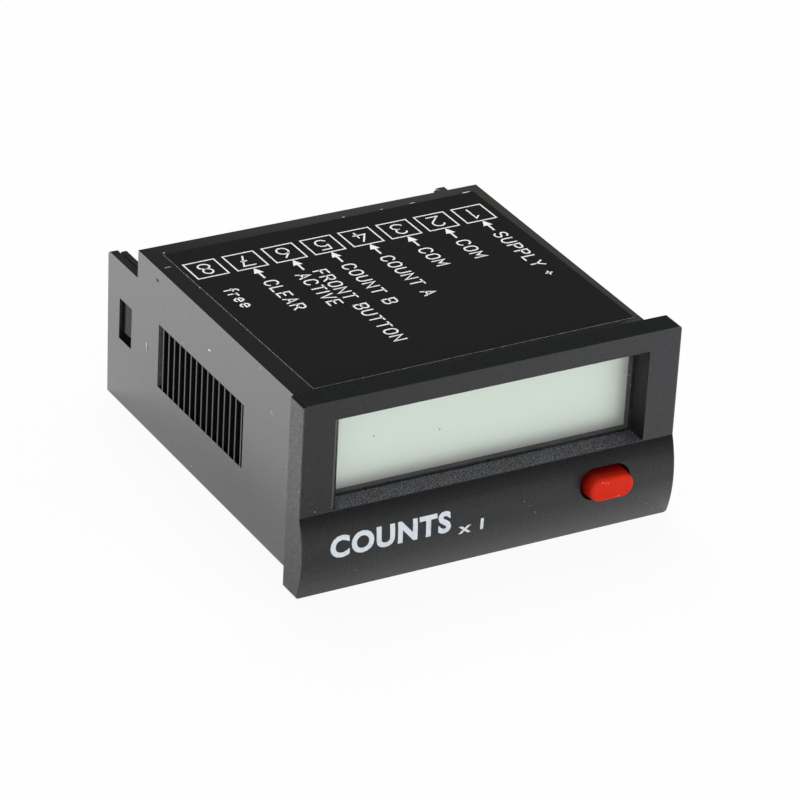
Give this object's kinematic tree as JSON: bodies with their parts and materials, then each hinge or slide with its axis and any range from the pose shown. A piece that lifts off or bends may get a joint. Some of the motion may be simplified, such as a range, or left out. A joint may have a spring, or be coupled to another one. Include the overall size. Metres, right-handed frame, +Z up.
{
  "type": "panel counter",
  "caption": "Black panel-mount pulse counter with a recessed LCD window, red reset key, toothed clip racks on its sides and a row of screw terminals at the rear.",
  "frame": {"origin": "middle of the bezel's rear face, on the plane of the panel", "axes": "+X to the right as seen from the front, +Y to the rear through the panel, +Z up"},
  "size_m": [0.048, 0.054, 0.024],
  "materials": {
    "housing": "black moulded plastic, smooth on the body, fine spark texture on the bezel",
    "pane": "clear acrylic",
    "lcd_frame": "satin dark grey paint on pressed steel",
    "lcd_glass": "display glass",
    "lcd_film": "pale greenish grey reflective film",
    "white_plastic": "white moulded plastic",
    "zebra": "striped conductive rubber",
    "board": "green solder mask",
    "chip": "black epoxy",
    "steel": "bright plated steel",
    "key": "red moulded plastic, satin",
    "silicone": "grey silicone",
    "contact": "tinned brass",
    "can": "dark sleeve",
    "chip_cap": "tan ceramic",
    "block": "black moulded plastic",
    "cover": "black moulded plastic",
    "label": "satin black film with white print"
  },
  "bodies": {
    "counter": {"housing": "housing", "display_window": "pane", "lcd_frame": "lcd_frame", "lcd_cell": "lcd_glass", "lcd_films": "lcd_film", "lcd_backing": "white_plastic", "zebra_strip": "zebra", "display_board": "board", "controller_chip": "chip", "clock_crystal": "steel", "key_dome": "silicone", "header_strip": "chip", "header_pins": "contact", "main_board": "board", "filter_capacitor": "can", "voltage_regulator": "chip", "input_diode": "chip", "memory_chip": "chip", "chip_resistors": "chip", "chip_capacitors": "chip_cap", "terminal_block": "block", "terminal_clamps": "steel", "terminal_screws": "steel", "terminal_pins": "contact", "rear_cover": "cover", "label": "label"},
    "key": {"reset_key": "key"}
  },
  "joints": [
    {"name": "reset_press", "type": "slide", "parent": "counter", "child": "key", "axis": [0, 1, 0], "range_m": [0, 0.0008], "stiffness_N_per_m": 1500, "deforming": ["key_dome"]}
  ]
}
